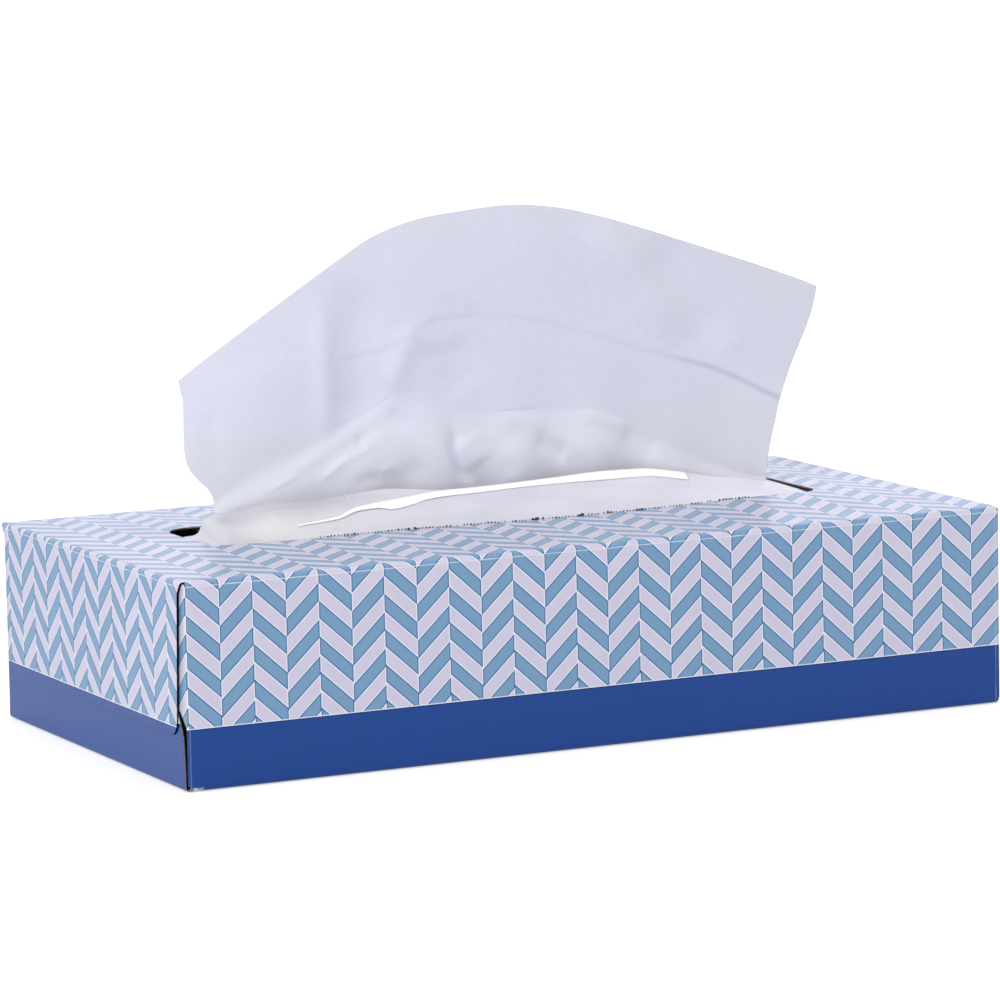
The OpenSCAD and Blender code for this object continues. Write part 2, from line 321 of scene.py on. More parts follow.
@dataclass(frozen=True)
class Herringbone:
    """The printed chevrons: upright columns of slanting bars.

    A column's bars rise or fall across it, turn about from one column to the
    next, and swap colour at each column's edge.
    """

    column: float = 8.873
    rise: float = 8.12
    period_rise: float = 9.13
    period_fall: float = 8.88
    start_rise: float = 22.92
    start_fall: float = 19.08
    drift: float = 0.0115
    origin: float = -105.75
    bar: float = 0.495
    turn: float = 52.0
    period_top: float = 9.12
    light_line: float = 0.26
    dark_line: float = 0.3

    def masks(self, g: Graph, across: object, along: object) -> dict[str, Socket]:
        """Places the pattern's group and gives its masks.

        Args:
            g: the material's graph.
            across: millimetres across the columns.
            along: millimetres along the columns.

        Returns:
            Sockets for the blue bars and for the light and dark outlines.
        """
        made = g.node("ShaderNodeGroup", node_tree=self.group())
        sizes = (getattr(self, word.lower().replace(" ", "_")) for word in PATTERN_SIZES)
        for socket, value in zip(made.inputs, (across, along, *sizes)):
            g.feed(socket, value)
        return {o.name: o for o in made.outputs}

    def group(self) -> Tree:
        """The node group of the pattern, made on the first call."""
        known = bpy.data.node_groups.get("herringbone_print")
        if known:
            return known
        names = ("Across", "Along", *PATTERN_SIZES)
        outs = ("Blue", "Light line", "Dark line")
        tree, start, end = new_group("herringbone_print", names, outs)
        g = Graph(tree)
        i = {o.name: o for o in start.outputs if o.name}
        place = g.sum("DIVIDE", g.minus(i["Across"], i["Origin"]), i["Column"])
        count = g.sum("FLOOR", place)
        share = g.minus(place, count)
        odd = g.sum("FLOORED_MODULO", count, 2.0)
        slant = g.sum("ABSOLUTE", g.minus(odd, share))
        period = g.choose(odd, i["Period rise"], i["Period fall"])
        first = g.choose(odd, i["Start rise"], i["Start fall"])
        low = g.least(i["Along"], self.turn)
        beyond = g.most(g.minus(i["Along"], self.turn), 0.0)
        height = g.minus(low, g.times(i["Across"], i["Drift"]))
        height = g.minus(height, g.times(i["Rise"], g.minus(slant, 0.5)))
        turns = g.sum("DIVIDE", g.minus(height, first), period)
        turns = g.sum("ADD", turns, g.sum("DIVIDE", beyond, self.period_top))
        phase = g.sum("FRACT", turns)
        blue = g.sum("LESS_THAN", phase, self.bar)
        to_bar = g.sum("ABSOLUTE", g.minus(phase, self.bar))
        to_end = g.least(phase, g.minus(1.0, phase))
        square = math.cos(math.atan2(self.rise, self.column))
        to_slant = g.times(g.times(g.least(to_bar, to_end), period), square)
        to_side = g.times(g.least(share, g.minus(1.0, share)), i["Column"])
        edge = g.least(to_slant, to_side)
        light = g.times(
            g.minus(1.0, blue), g.step(edge, self.light_line * 1.2, self.light_line * 0.7)
        )
        dark = g.times(blue, g.step(edge, self.dark_line * 1.3, self.dark_line * 0.6))
        for socket, value in zip(end.inputs, (blue, light, dark)):
            g.feed(socket, value)
        return tree


@dataclass(frozen=True)
class PrintedBoard:
    """Coated carton board, printed with the chevrons over a navy band."""

    blue: Colour = linear(114, 151, 185)
    blue_dark: Colour = linear(56, 98, 142)
    pale: Colour = linear(203, 198, 217)
    pale_cloud: Colour = linear(200, 195, 215)
    keyline: Colour = linear(224, 229, 244)
    navy: Colour = linear(5, 61, 136)
    navy_line: Colour = linear(4, 30, 84)
    # bare: the white of bare board, for real scuffs and cracked creases, and as a painted highlight
    # down the end folds.
    bare: Colour = linear(226, 226, 232)
    band_top: float = 15.5
    rear_band: float = 209.9
    keyline_w: float = 0.22
    creases_along: tuple[float, ...] = (50.75, 172.6)
    highlight_fold_across: float = 114.4

    def material(self) -> Material:
        """The printed face, on a UV map in millimetres."""
        made, g, shader = new_material("printed_board")
        uv = g.node("ShaderNodeUVMap", uv_map="print").outputs[0]
        place = g.object_place()
        across, along = g.axes(uv)[:2]
        wrap = Herringbone().masks(g, across, along)
        end = Herringbone(
            column=8.96,
            rise=8.2,
            period_rise=9.1,
            period_fall=8.8,
            start_rise=21.3,
            start_fall=18.4,
            drift=0.022,
            origin=-8.96,
        ).masks(g, g.minus(across, END_PRINT), along)
        on_end = g.sum("GREATER_THAN", across, END_PRINT / 2)
        mask = {k: g.choose(on_end, wrap[k], end[k]) for k in wrap}
        tint = g.grain(place, 160.0, 3.0)
        pale = g.blend(g.step(tint, 0.3, 0.7), self.pale, self.pale_cloud)
        colour = g.blend(mask["Light line"], pale, self.keyline)
        blue = g.blend(mask["Dark line"], self.blue, self.blue_dark)
        colour = g.blend(mask["Blue"], colour, blue)
        to_front = g.minus(along, self.band_top)
        to_rear = g.minus(self.rear_band, along)
        above = g.least(to_front, to_rear)
        colour = g.blend(g.sum("LESS_THAN", above, self.keyline_w), colour, self.keyline)
        edge = g.step(above, -0.4, -0.1)
        navy = g.blend(edge, self.navy, self.navy_line)
        colour = g.blend(g.sum("LESS_THAN", above, 0.0), colour, navy)
        crease = self.crack_and_fold_highlight(g, across, along, place)
        # The white along the creases is cracked print, with a painted fold highlight down the ends.
        colour = g.blend(crease, colour, self.bare)
        colour = g.blend(self.scuffs(g, across, along, place), colour, self.bare)
        g.feed(shader.inputs["Base Color"], colour)
        gloss = g.step(g.grain(place, 45.0, 3.0), 0.2, 0.8)
        g.feed(shader.inputs["Roughness"], g.choose(gloss, 0.22, 0.3))
        shader.inputs["Specular IOR Level"].default_value = 0.35
        wave = g.grain(place, 38.0, 2.0)
        fine = g.grain(place, 900.0, 2.0)
        height = g.sum("ADD", wave, g.times(fine, 0.04))
        g.feed(shader.inputs["Normal"], g.bump(height, 0.25, 0.0006))
        return made

    def crack_and_fold_highlight(self, g: Graph, across: object, along: object, place: object) -> Socket:
        """Where the print has cracked white along a crease, with a painted highlight down the end
        folds.
        """
        lines = [g.near(along, at, 0.11) for at in self.creases_along]
        # The faint line down the end folds is a painted highlight of the rounded fold.
        side = g.near(g.sum("ABSOLUTE", across), self.highlight_fold_across, 0.14)
        lines.append(g.times(side, 0.22))
        mask = lines[0]
        for line in lines[1:]:
            mask = g.most(mask, line)
        broken = g.step(g.grain(place, 260.0, 3.0), 0.35, 0.6)
        share = g.choose(broken, 0.45, 0.85)
        return g.times(mask, share)

    def scuffs(self, g: Graph, across: object, along: object, place: object) -> Socket:
        """Small worn marks on the base's front edge by the near corner."""
        low = g.step(along, 1.2, 0.6)
        corner = g.near(across, -112.6, 1.4)
        worn = g.step(g.grain(place, 700.0, 2.0), 0.46, 0.54)
        return g.times(g.times(low, corner), worn)


@dataclass(frozen=True)
class RawBoard:
    """Recycled grey-brown board: the carton's inside and its cut edges, and also the near-black
    painted shade of the end gaps and the dark torn tufts.
    """

    name: str
    colour: Colour
    fleck: Colour
    shine: float = 0.3

    def material(self) -> Material:
        """The raw board's finish, on object coordinates."""
        made, g, shader = new_material(self.name)
        place = g.object_place()
        fibres = g.grain(g.stretch(place, (1.0, 1.0, 2.5)), 520.0, 4.0, 0.65)
        colour = g.blend(g.step(fibres, 0.42, 0.7), self.colour, self.fleck)
        g.feed(shader.inputs["Base Color"], colour)
        shader.inputs["Roughness"].default_value = 0.85
        shader.inputs["Specular IOR Level"].default_value = self.shine
        g.feed(shader.inputs["Normal"], g.bump(fibres, 0.4, 0.0002))
        return made


@dataclass(frozen=True)
class SlitFilm:
    """Thin milky film, white where its edge is folded over, partly a painted highlight there, with
    painted light and shade along its length.
    """

    colour: Colour = linear(217, 216, 227)
    # tip and the two ends: painted shade and painted light along the film's length.
    tip: Colour = linear(213, 213, 219)
    left_end_painted_light: Colour = linear(225, 224, 227)
    right_end_painted_light: Colour = linear(236, 235, 245)
    # lip: pure white on the folded edge, partly its folded layers and partly a painted highlight.
    lip: Colour = linear(255, 255, 255)

    def material(self) -> Material:
        """The film's finish, with a lip mask in a mesh attribute."""
        made, g, shader = new_material("slit_film")
        place = g.object_place()
        lip, sheer = g.attribute("lip"), g.attribute("sheer")
        along = g.axes(place)[0]
        # The tone steps along the film are painted light and shade: darker at the left tip by the
        # hole, lighter towards both ends.
        colour = g.blend(g.step(along, -0.078, -0.069), self.tip, self.left_end_painted_light)
        colour = g.blend(g.step(along, -0.069, -0.02), colour, self.colour)
        colour = g.blend(g.step(along, 0.02, 0.07), colour, self.right_end_painted_light)
        g.feed(shader.inputs["Base Color"], g.blend(lip, colour, self.lip))
        haze = g.grain(g.stretch(place, (1.0, 3.0, 3.0)), 42.0, 3.0)
        thin = g.choose(g.step(haze, 0.3, 0.7), 0.8, 0.93)
        thin = g.times(thin, g.choose(sheer, 1.0, 0.12))
        g.feed(shader.inputs["Alpha"], g.choose(lip, thin, 1.0))
        g.feed(shader.inputs["Roughness"], g.choose(g.step(haze, 0.2, 0.8), 0.24, 0.36))
        shader.inputs["IOR"].default_value = 1.5
        creep = g.grain(g.stretch(place, (0.5, 2.0, 2.0)), 110.0, 3.0)
        g.feed(shader.inputs["Normal"], g.bump(creep, 0.35, 0.0006))
        return made


@dataclass(frozen=True)
class Tissue:
    """Soft two-ply tissue with fine crepe lines and faint fibre clouds, with painted light low down
    by the slit.
    """

    colour: Colour = linear(207, 209, 223)
    cloud: Colour = linear(210, 212, 226)
    # low: a lighter tone painted low on the sheets by the slit, painted light against the shade
    # there.
    low: Colour = linear(214, 214, 225)

    def material(self) -> Material:
        """The sheet's finish, on its own UV map in millimetres."""
        made, g, shader = new_material("tissue")
        uv = g.node("ShaderNodeUVMap", uv_map="sheet").outputs[0]
        clouds = g.grain(uv, 0.35, 4.0, 0.6)
        colour = g.blend(g.step(clouds, 0.35, 0.65), self.colour, self.cloud)
        # Painted light: the sheets turn lighter low down by the slit, offsetting the shade under the
        # film's lip.
        painted_light_near_slit = g.step(g.axes(g.object_place())[2], 0.088, 0.06)
        g.feed(shader.inputs["Base Color"], g.blend(painted_light_near_slit, colour, self.low))
        shader.inputs["Roughness"].default_value = 0.92
        shader.inputs["Specular IOR Level"].default_value = 0.2
        shader.inputs["Sheen Weight"].default_value = 0.08
        crepe = g.grain(g.stretch(uv, (0.5, 2.6, 1.0)), 1.6, 3.0, 0.6)
        fibres = g.grain(uv, 5.0, 2.0)
        height = g.sum("ADD", crepe, g.times(fibres, 0.5))
        g.feed(shader.inputs["Normal"], g.bump(height, 0.14, 0.00012))
        return made


@dataclass(frozen=True)
class FoldedPack:
    """The pack's faces: the folded edges of the sheets, one over another."""

    colour: Colour = linear(226, 228, 238)
    shade: Colour = linear(168, 170, 184)

    def material(self) -> Material:
        """The pack's finish, on object coordinates."""
        made, g, shader = new_material("folded_pack")
        place = g.object_place()
        layers = g.grain(g.stretch(place, (6.0, 6.0, 1400.0)), 1.0, 2.0, 0.7)
        dark = g.step(layers, 0.6, 0.42)
        g.feed(shader.inputs["Base Color"], g.blend(g.times(dark, 0.7), self.colour, self.shade))
        shader.inputs["Roughness"].default_value = 0.95
        g.feed(shader.inputs["Normal"], g.bump(layers, 0.6, 0.0004))
        return made


def sheet_grid(points: Array, uv: Array, layer: str) -> tuple[Mesh, Array]:
    """A sheet of quads through rows of points.

    Args:
        points: places in millimetres, by row and column.
        uv: UV values, by row and column.
        layer: the UV map's name.

    Returns:
        The sheet, and each vertex's column and row number.
    """
    bm = bmesh.new()
    rows, columns = (n - 1 for n in points.shape[:2])
    bmesh.ops.create_grid(bm, x_segments=columns, y_segments=rows, size=0.5)
    spots = np.array([v.co[:2] for v in bm.verts])
    low, high = spots.min(axis=0), spots.max(axis=0)
    counts = np.rint((spots - low) / (high - low) * (columns, rows)).astype(int)
    for vert, (c, r) in zip(bm.verts, counts):
        vert.co = Vector(points[r, c]) * MM
    bm.verts.index_update()
    uv_layer = bm.loops.layers.uv.new(layer)
    for face in bm.faces:
        face.smooth = True
        for loop in face.loops:
            c, r = counts[loop.vert.index]
            loop[uv_layer].uv = uv[r, c]
    return bm, counts


def face_away(bm: Mesh, centre: Vector) -> None:
    """Turns a sheet's faces so that they look away from a centre."""
    bm.normal_update()
    away = sum(f.normal.dot(f.calc_center_median() - centre) * f.calc_area() for f in bm.faces)
    if away < 0:
        bmesh.ops.reverse_faces(bm, faces=bm.faces)


def new_object(name: str, data: bpy.types.ID) -> Object:
    """An object with its data, linked into the scene."""
    made = bpy.data.objects.new(name, data)
    bpy.context.scene.collection.objects.link(made)
    return made


def finish_piece(
    name: str,
    parts: Sequence[Mesh],
    materials: Sequence[Material],
    nodes: Sequence[str] = (),
) -> Object:
    """Joins meshes into one piece that rides on the carton's body.

    Args:
        name: the piece's name.
        parts: the meshes, which are used up.
        materials: the piece's material slots in order.
        nodes: the model's nodes that it stands for.
    """
    whole = bmesh.new()
    for part in parts:
        held = bpy.data.meshes.new("part")
        part.to_mesh(held)
        part.free()
        whole.from_mesh(held)
        bpy.data.meshes.remove(held)
    mesh = bpy.data.meshes.new(name)
    whole.to_mesh(mesh)
    whole.free()
    made = new_object(name, mesh)
    for material in materials:
        mesh.materials.append(material)
    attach(made, ROOT)
    if nodes:
        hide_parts(*nodes)
    return made


def thicken(piece: Object, thickness: float, offset: float, inside: int = 0, rim: int = 0) -> None:
    """Gives a sheet its thickness.

    Args:
        piece: the sheet.
        thickness: millimetres.
        offset: -1 to grow inwards, 0 to grow both ways.
        inside: slot step for the inner face.
        rim: slot step for the cut edge.
    """
    solid = piece.modifiers.new("thickness", "SOLIDIFY")
    solid.thickness = thickness * MM
    solid.offset = offset
    solid.use_even_offset = True
    solid.thickness_clamp = 0.0
    solid.material_offset = inside
    solid.material_offset_rim = rim


@dataclass
class Carton:
    """The folded and glued carton, with the opening torn out of its top."""

    length: float = 231.2
    depth: float = 122.6
    height: float = 52.0
    board: float = 0.4
    play: float = 0.02
    fold_r: float = 1.4
    flap_fold_r: float = 0.9
    dust_fold_r: float = 0.5
    seam_setback: float = 1.5
    seam_w: float = 14.0
    opening_half_l: float = 88.0
    opening_half_d: float = 19.0
    opening_r: float = 8.0
    near_shape: Stations = (
        (-88.0, 0.86), (-58.0, 0.84), (-38.0, 0.84), (-18.0, 0.91), (8.0, 1.0),
        (32.0, 0.97), (57.0, 0.89), (88.0, 0.92),
    )
    crown: float = 0.75
    crown_left: float = 0.45
    crown_right: float = 0.95
    flap_r: float = 4.0
    flap_reach: float = 38.0
    flap_root: float = 58.9
    flap_tip: float = 56.4
    left_shoulder: float = 1.9
    right_shoulder: float = -0.5
    shoulder_reach: float = 2.6
    lower_reach: float = 36.0
    lower_half: Stations = ((-4.0, 59.9), (0.0, 59.9), (12.0, 59.3), (15.5, 57.6), (19.0, 55.8))
    lower_print_top: float = 15.65
    end_origin: float = 55.66
    torn_half: float = 87.0
    pressed_half: float = 51.5
    pressed_share: float = 0.08
    dust_reach: float = 45.0
    dust_slope: float = 5.0
    rear_print: float = 225.0
    gap_top: float = 15.7
    gap_slant: float = 3.8
    right_flap_shift: float = 1.4
    left_out: float = 0.25
    right_out: float = 0.9
    fold_steps: int = 8
    rim: float = 0.15
    dent: float = 0.45

    @property
    def half_l(self) -> float:
        """Half the carton's length."""
        return self.length / 2

    @property
    def half_d(self) -> float:
        """Half the carton's depth."""
        return self.depth / 2

    @property
    def tube_half(self) -> float:
        """Half the length of the tube, up to its end folds."""
        return self.half_l - 2 * (self.board + self.play) - self.dust_fold_r

    def out(self, side: Side) -> float:
        """How far an end stands out beyond the plain length."""
        return self.left_out if side is Side.LEFT else self.right_out

    def tube_end(self, side: Side) -> float:
        """Distance of one end fold of the tube from the middle."""
        return self.tube_half + self.out(side)

    @property
    def quarter(self) -> float:
        """Length of the outer face round one fold of the tube."""
        return math.pi / 2 * self.fold_r

    def wrap(self, s: Array) -> Array:
        """The outer face round the carton.

        Args:
            s: millimetres from the base's front edge, rising up the front.

        Returns:
            Y and Z of each point, in the last axis.
        """
        r = self.fold_r
        side, high = self.half_d - r, self.height - r
        low = self.board + self.play + r
        path = [(self.half_d - self.seam_setback, 0.0)]
        turns = ((-side, r, 270.0), (-side, high, 180.0), (side, high, 90.0), (side, low, 0.0))
        for y, z, start in turns:
            for a in np.radians(start - np.linspace(0, 90, 25)):
                path.append((y + r * math.cos(a), z + r * math.sin(a)))
        path.append((side - self.seam_w, low - r))
        points = np.array(path)
        run = np.hypot(*np.diff(points, axis=0).T)
        along = np.concatenate([[0.0], np.cumsum(run)])
        along += r - along[25]
        return np.stack([np.interp(s, along, points[:, i]) for i in (0, 1)], axis=-1)

    def opening_edge(self, x: Array) -> Array:
        """Half the opening's depth at each x, with its rounded corners."""
        flat = self.opening_half_l - self.opening_r
        over = np.clip(np.abs(x) - flat, 0.0, self.opening_r)
        arc = np.sqrt(np.maximum(self.opening_r**2 - over**2, 0.0))
        return self.opening_half_d - self.opening_r + arc

    def near_edge(self, x: Array) -> Array:
        """How far forward the opening's front edge lies at each x."""
        return self.opening_edge(x) * through(self.near_shape, x)

    def columns(self) -> Array:
        """Places along the tube, closer where the opening's corners turn."""
        flat = self.opening_half_l - self.opening_r
        turn = [flat + self.opening_r * math.sin(math.radians(a)) for a in range(10, 91, 10)]
        left, right = (
            np.array([*turn, *rimmed(self.opening_half_l, end, 11, self.rim)[1:]])
            for end in (self.tube_end(side) for side in Side)
        )
        middle = np.linspace(-flat, flat, 201)
        return np.concatenate([-left[::-1], middle, right])

    def tube(self) -> Mesh:
        """Base, front, top and rear with their folds and the seam flap."""
        x = self.columns()
        r, q = self.fold_r, self.quarter
        side, high = self.half_d - r, self.height - r
        a = high + q
        mid = a + side
        b = mid + side
        d = b + q + high - self.board - self.play - r
        n = self.fold_steps
        base = r - q - (self.half_d - self.seam_setback + side)
        edge = self.opening_edge(x)
        torn = 0.22 * wander(x, 1.3, 3.1) + 0.16 * wander(x, 0.6, 7.7)
        near = -self.near_edge(x) + np.where(np.abs(x) < self.torn_half, torn, 0.0)
        far = edge + np.where(np.abs(x) < self.torn_half, 0.6 * torn[::-1], 0.0)
        before = [
            *np.linspace(base, r - q, 5)[:-1],
            *np.linspace(r - q, r, n)[:-1],
            *np.linspace(r, high, 9)[:-1],
            *np.linspace(high, a, n)[:-1],
        ]
        after = [
            *np.linspace(b, b + q, n),
            *np.linspace(b + q, d, 9)[1:],
            *np.linspace(d, d + q, n)[1:],
            *np.linspace(d + q, d + q + self.seam_w, 3)[1:],
        ]
        rows = [np.full_like(x, s) for s in before]
        rows += [mix(a, mid + near, k / 9) for k in range(9)]
        rows += [mid + near - self.rim, mid + near]
        hole_from = len(rows) - 1
        rows += [mix(mid + near, mid + far, k / 4) for k in range(1, 5)]
        hole_to = len(rows) - 1
        rows.append(mid + far + self.rim)
        rows += [mix(mid + far, b, k / 9) for k in range(1, 9)]
        rows += [np.full_like(x, s) for s in after]
        s = np.array(rows)
        yz = self.wrap(s)
        xs = np.broadcast_to(x, s.shape)
        z = yz[..., 1] + self.lift(xs, yz[..., 0]) * (s > a) * (s < b)
        pressed = self.dent * hill(xs, 1.8, 1.4) * hill(s, high + q / 2, 1.4)
        points = np.stack([xs, yz[..., 0] + pressed, z - 0.7 * pressed], axis=-1)
        bm, counts = sheet_grid(points, np.stack([xs, s], axis=-1), "print")
        gone = []
        for face in bm.faces:
            spots = counts[[v.index for v in face.verts]]
            row = spots[:, 1]
            inside = row.min() >= hole_from and row.max() <= hole_to
            middle = abs(x[spots[:, 0]].mean()) < self.opening_half_l
            if inside and middle:
                gone.append(face)
        bmesh.ops.delete(bm, geom=gone, context="FACES")
        face_away(bm, Vector((0, 0, self.height / 2 * MM)))
        return bm

    def lift(self, x: Array, y: Array) -> Array:
        """How far the top panel crowns up towards the opening."""
        along = np.clip(1 - (np.abs(x) / self.half_l) ** 3, 0, 1)
        ends = ease(self.half_l - 1.0, self.half_l - 22.0, np.abs(x))
        across = ease(self.half_d - self.fold_r, 12.0, np.abs(y))
        tips = self.crown_right * hill(x, 78.0, 24.0)
        tips = tips + self.crown_left * hill(x, -84.0, 14.0)
        return (self.crown * along + tips * ends) * across

    def flap_width(self, t: Array) -> Array:
        """Half the outer flap's width at each distance from its crease."""
        plain = mix(self.flap_root, self.flap_tip, np.clip(t / self.flap_reach, 0, 1))
        over = np.clip(t - (self.flap_reach - self.flap_r), 0.0, self.flap_r)
        return plain - self.flap_r + np.sqrt(self.flap_r**2 - over**2)

    def end_print(self, y: Array, side: Side) -> Array:
        """Places across the chevron columns of an end."""
        return END_PRINT + self.end_origin + y * side.value

    def bend(self, face: float) -> list[float]:
        """Distances from an end flap's crease, over its stub and its fold.

        Args:
            face: how far the flap's outer face lies from the middle.
        """
        q = math.pi / 2 * self.flap_fold_r
        stub = face - self.flap_fold_r - self.tube_half
        return [-q - stub, *np.linspace(-q, 0, self.fold_steps)[:-1]]

    def end_flap(self, side: Side, t: Array, half: Array, face: float, hangs: bool) -> Mesh:
        """A flap over one end, hanging from the top or rising from the base.

        Args:
            side: the end that it closes.
            t: distances from its crease, which start with those of its bend.
            half: half its width at each of them.
            face: how far its outer face lies from the middle.
            hangs: whether it is the outer flap, which hangs.
        """
        r = self.flap_fold_r
        q = math.pi / 2 * r
        angle = np.clip((t + q) / r, 0, math.pi / 2)
        x = face - r + np.where(t < -q, t + q, r * np.sin(angle)) + self.out(side)
        rise = r + np.where(t < 0, -r * np.cos(angle), t)
        z = self.height - rise if hangs else rise
        across = rimmed(-1, 1, 40 if hangs else 24, 0.003)
        y = half[:, None] * across[None, :]
        if hangs and side is Side.RIGHT:
            y = y + self.right_flap_shift
        xs = np.broadcast_to(x[:, None], y.shape) * side.value
        zs = np.broadcast_to(z[:, None], y.shape)
        v = zs if hangs else np.minimum(zs, self.lower_print_top)
        points, uv = np.stack([xs, y, zs], axis=-1), np.stack([self.end_print(y, side), v], axis=-1)
        bm = sheet_grid(points, uv, "print")[0]
        face_away(bm, Vector((0, 0, 0.02)))
        return bm

    def upper_flap(self, side: Side) -> Mesh:
        """The outer end flap, which hangs from the top panel."""
        corner = self.flap_reach - self.flap_r
        turn = np.sin(np.linspace(0, 1, 7) * math.pi / 2)
        flat = [*np.linspace(0, 3, 4)[:-1], *np.linspace(3, corner, 9)[:-1]]
        t = np.array([*self.bend(self.half_l), *flat, *(corner + self.flap_r * turn)])
        shoulder = self.left_shoulder if side is Side.LEFT else self.right_shoulder
        q = math.pi / 2 * self.flap_fold_r
        half = self.flap_width(t) + shoulder * ease(self.shoulder_reach, -q, t)
        bm = self.end_flap(side, t, half, self.half_l, True)
        for face in bm.faces:
            # Its cut edge takes the painted shade, two slots on.
            face.material_index = CartonFace.OUTER_FLAP.value
        return bm

    def lower_flap(self, side: Side) -> Mesh:
        """The end flap behind the upper one, which rises from the base."""
        face = self.half_l - self.board - self.play
        t = np.array([*self.bend(face), *np.linspace(0, self.lower_reach, 19)])
        return self.end_flap(side, t, through(self.lower_half, t), face, False)

    def dust_flap(self, side: Side, front: bool) -> Mesh:
        """A flap that turns in from the front or the rear, behind the others."""
        r, n = self.dust_fold_r, self.fold_steps
        q = math.pi / 2 * r
        t = np.array(
            [
                *np.linspace(-q, 0, n)[:-1],
                *np.linspace(0, self.gap_slant, 5)[:-1],
                *np.linspace(self.gap_slant, self.dust_reach, 9),
            ]
        )
        angle = np.clip((t + q) / r, 0, math.pi / 2)
        x = self.tube_end(side) + r * np.sin(angle)
        back = r - r * np.cos(angle) + np.maximum(t, 0)
        slope = self.dust_slope * np.clip(t / self.dust_reach, 0, 1)
        low = (self.fold_r if front else self.board + self.play + self.fold_r) + slope
        turn = self.fold_r - np.minimum(back, self.fold_r)
        high = self.height - self.fold_r + np.sqrt(self.fold_r**2 - turn**2)
        high = high - 0.22 * ease(0.0, 0.8, back) - slope
        split = self.gap_top + np.clip(t, 0, self.gap_slant)
        rise = np.linspace(0, 1, 25)[1:]
        z = np.concatenate(
            [
                mix(low[:, None], split[:, None], rimmed(0, 1, 7, 0.01)[None, :]),
                mix(split[:, None], high[:, None], rise[None, :]),
            ],
            axis=1,
        )
        sign = -1 if front else 1
        xs = np.broadcast_to((x * side.value)[:, None], z.shape)
        ys = np.broadcast_to(((self.half_d - back) * sign)[:, None], z.shape)
        points = np.stack([xs, ys, z], axis=-1)
        u = (self.tube_end(side) + q + t) * side.value
        v = z if front else self.rear_print - z
        us = np.broadcast_to(u[:, None], z.shape)
        bm, counts = sheet_grid(points, np.stack([us, v], axis=-1), "print")
        face_away(bm, Vector((0, 0, self.height / 2 * MM)))
        # Front dust flap faces low down by the fold take the painted shade: near black where the gap
        # behind the lower flap lies in shade.
        for face in bm.faces:
            spots = counts[[v.index for v in face.verts]]
            below = spots[:, 0].max() <= 9
            if front and below and spots[:, 1].min() >= n - 1:
                face.material_index = CartonFace.GAP.value
        return bm

    def build(self) -> Object:
        """The carton as one piece of board."""
        parts = [self.tube()]
        for side in Side:
            parts += [self.upper_flap(side), self.lower_flap(side)]
            parts += [self.dust_flap(side, f) for f in (True, False)]
        inner = RawBoard("board_inside", linear(150, 132, 116), linear(120, 103, 90))
        core = RawBoard("board_core", linear(138, 128, 120), linear(92, 80, 72))
        # The near-black board is painted shade, not a board colour: it fills the end gaps and the
        # outer flaps' cut edges.
        shade = RawBoard("painted_gap_shade", linear(10, 10, 12), linear(4, 4, 6), 0.0)
        printed, inside = PrintedBoard().material(), inner.material()
        dark = shade.material()
        made = finish_piece(
            "carton_board",
            parts,
            (printed, inside, core.material(), printed, inside, dark),
            ("carton",),
        )
        thicken(made, self.board, -1.0, inside=1, rim=2)
        self.press_flap_edges(made)
        return made

    def press_flap_edges(self, board: Object) -> None:
        """Thins the outer flaps' free edges, which are pressed flat."""
        group = board.vertex_groups.new(name="board_thickness")
        bottom = self.height - self.flap_fold_r - self.flap_reach
        for vert in board.data.vertices:
            x, y, z = (abs(c) / MM for c in vert.co)
            pressed = x > self.half_l - 0.1 and y < self.pressed_half and z < bottom + 0.3
            group.add([vert.index], self.pressed_share if pressed and z > 5.0 else 1.0, "REPLACE")
        board.modifiers["thickness"].vertex_group = group.name


@dataclass
class TornFibres:
    """Tufts of board fibre left standing where the perforation tore."""

    carton: Carton
    near_from: float = -58.0
    near_to: float = 67.0
    pitch: float = 0.95

    def tuft(self, x: float, seed: float) -> Mesh:
        """One ragged tuft at a place along the near edge."""
        bm = bmesh.new()
        bmesh.ops.create_icosphere(bm, subdivisions=1, radius=1.0)
        wild = noise.noise(Vector((x * 1.7, seed, 1.0)))
        clump = 0.75 + 2.2 * max(0.0, noise.noise(Vector((x * 0.23, 8.0, 3.0))))
        tall = 0.2 + 0.5 * abs(noise.noise(Vector((x * 0.9, seed, 5.0))))
        size = (clump * (0.22 + 0.6 * abs(wild)), 0.2, clump * tall)
        for vert in bm.verts:
            rough = 1 + 0.5 * noise.noise(vert.co * 2.3 + Vector((x, seed, 0)))
            vert.co = Vector([c * s * rough * MM for c, s in zip(vert.co, size)])
        lean = Matrix.Rotation(wild * 0.9, 4, "Y")
        bmesh.ops.transform(bm, matrix=lean, verts=bm.verts)
        y = -float(self.carton.near_edge(np.array(x)))
        z = self.carton.height + float(self.carton.lift(np.array(x), np.array(y)))
        stray = 0.5 * noise.noise(Vector((x * 0.8, 4.0, 6.0)))
        place = Vector((x, y + 0.1 + 0.1 * wild + stray, z + 0.12)) * MM
        bmesh.ops.translate(bm, vec=place, verts=bm.verts)
        return bm

    def build(self) -> Object:
        """All the tufts as one piece."""
        parts = []
        count = int((self.near_to - self.near_from) / self.pitch)
        for i in range(count):
            x = self.near_from + i * self.pitch
            thick = noise.noise(Vector((x * 0.16, 2.0, 4.0)))
            chance = noise.noise(Vector((x * 2.9, 9.0, 1.0)))
            if chance > -0.2 - 0.5 * thick:
                parts.append(self.tuft(x + 0.2 * chance, 3.0 + i))
        # The tufts' dark colour is partly the torn fibre's own and partly painted shade of the gap
        # between the board edge and the film.
        fibre = RawBoard("torn_fibre_and_shade", linear(84, 74, 70), linear(26, 22, 22))
        return finish_piece("torn_perforation", parts, (fibre.material(),))


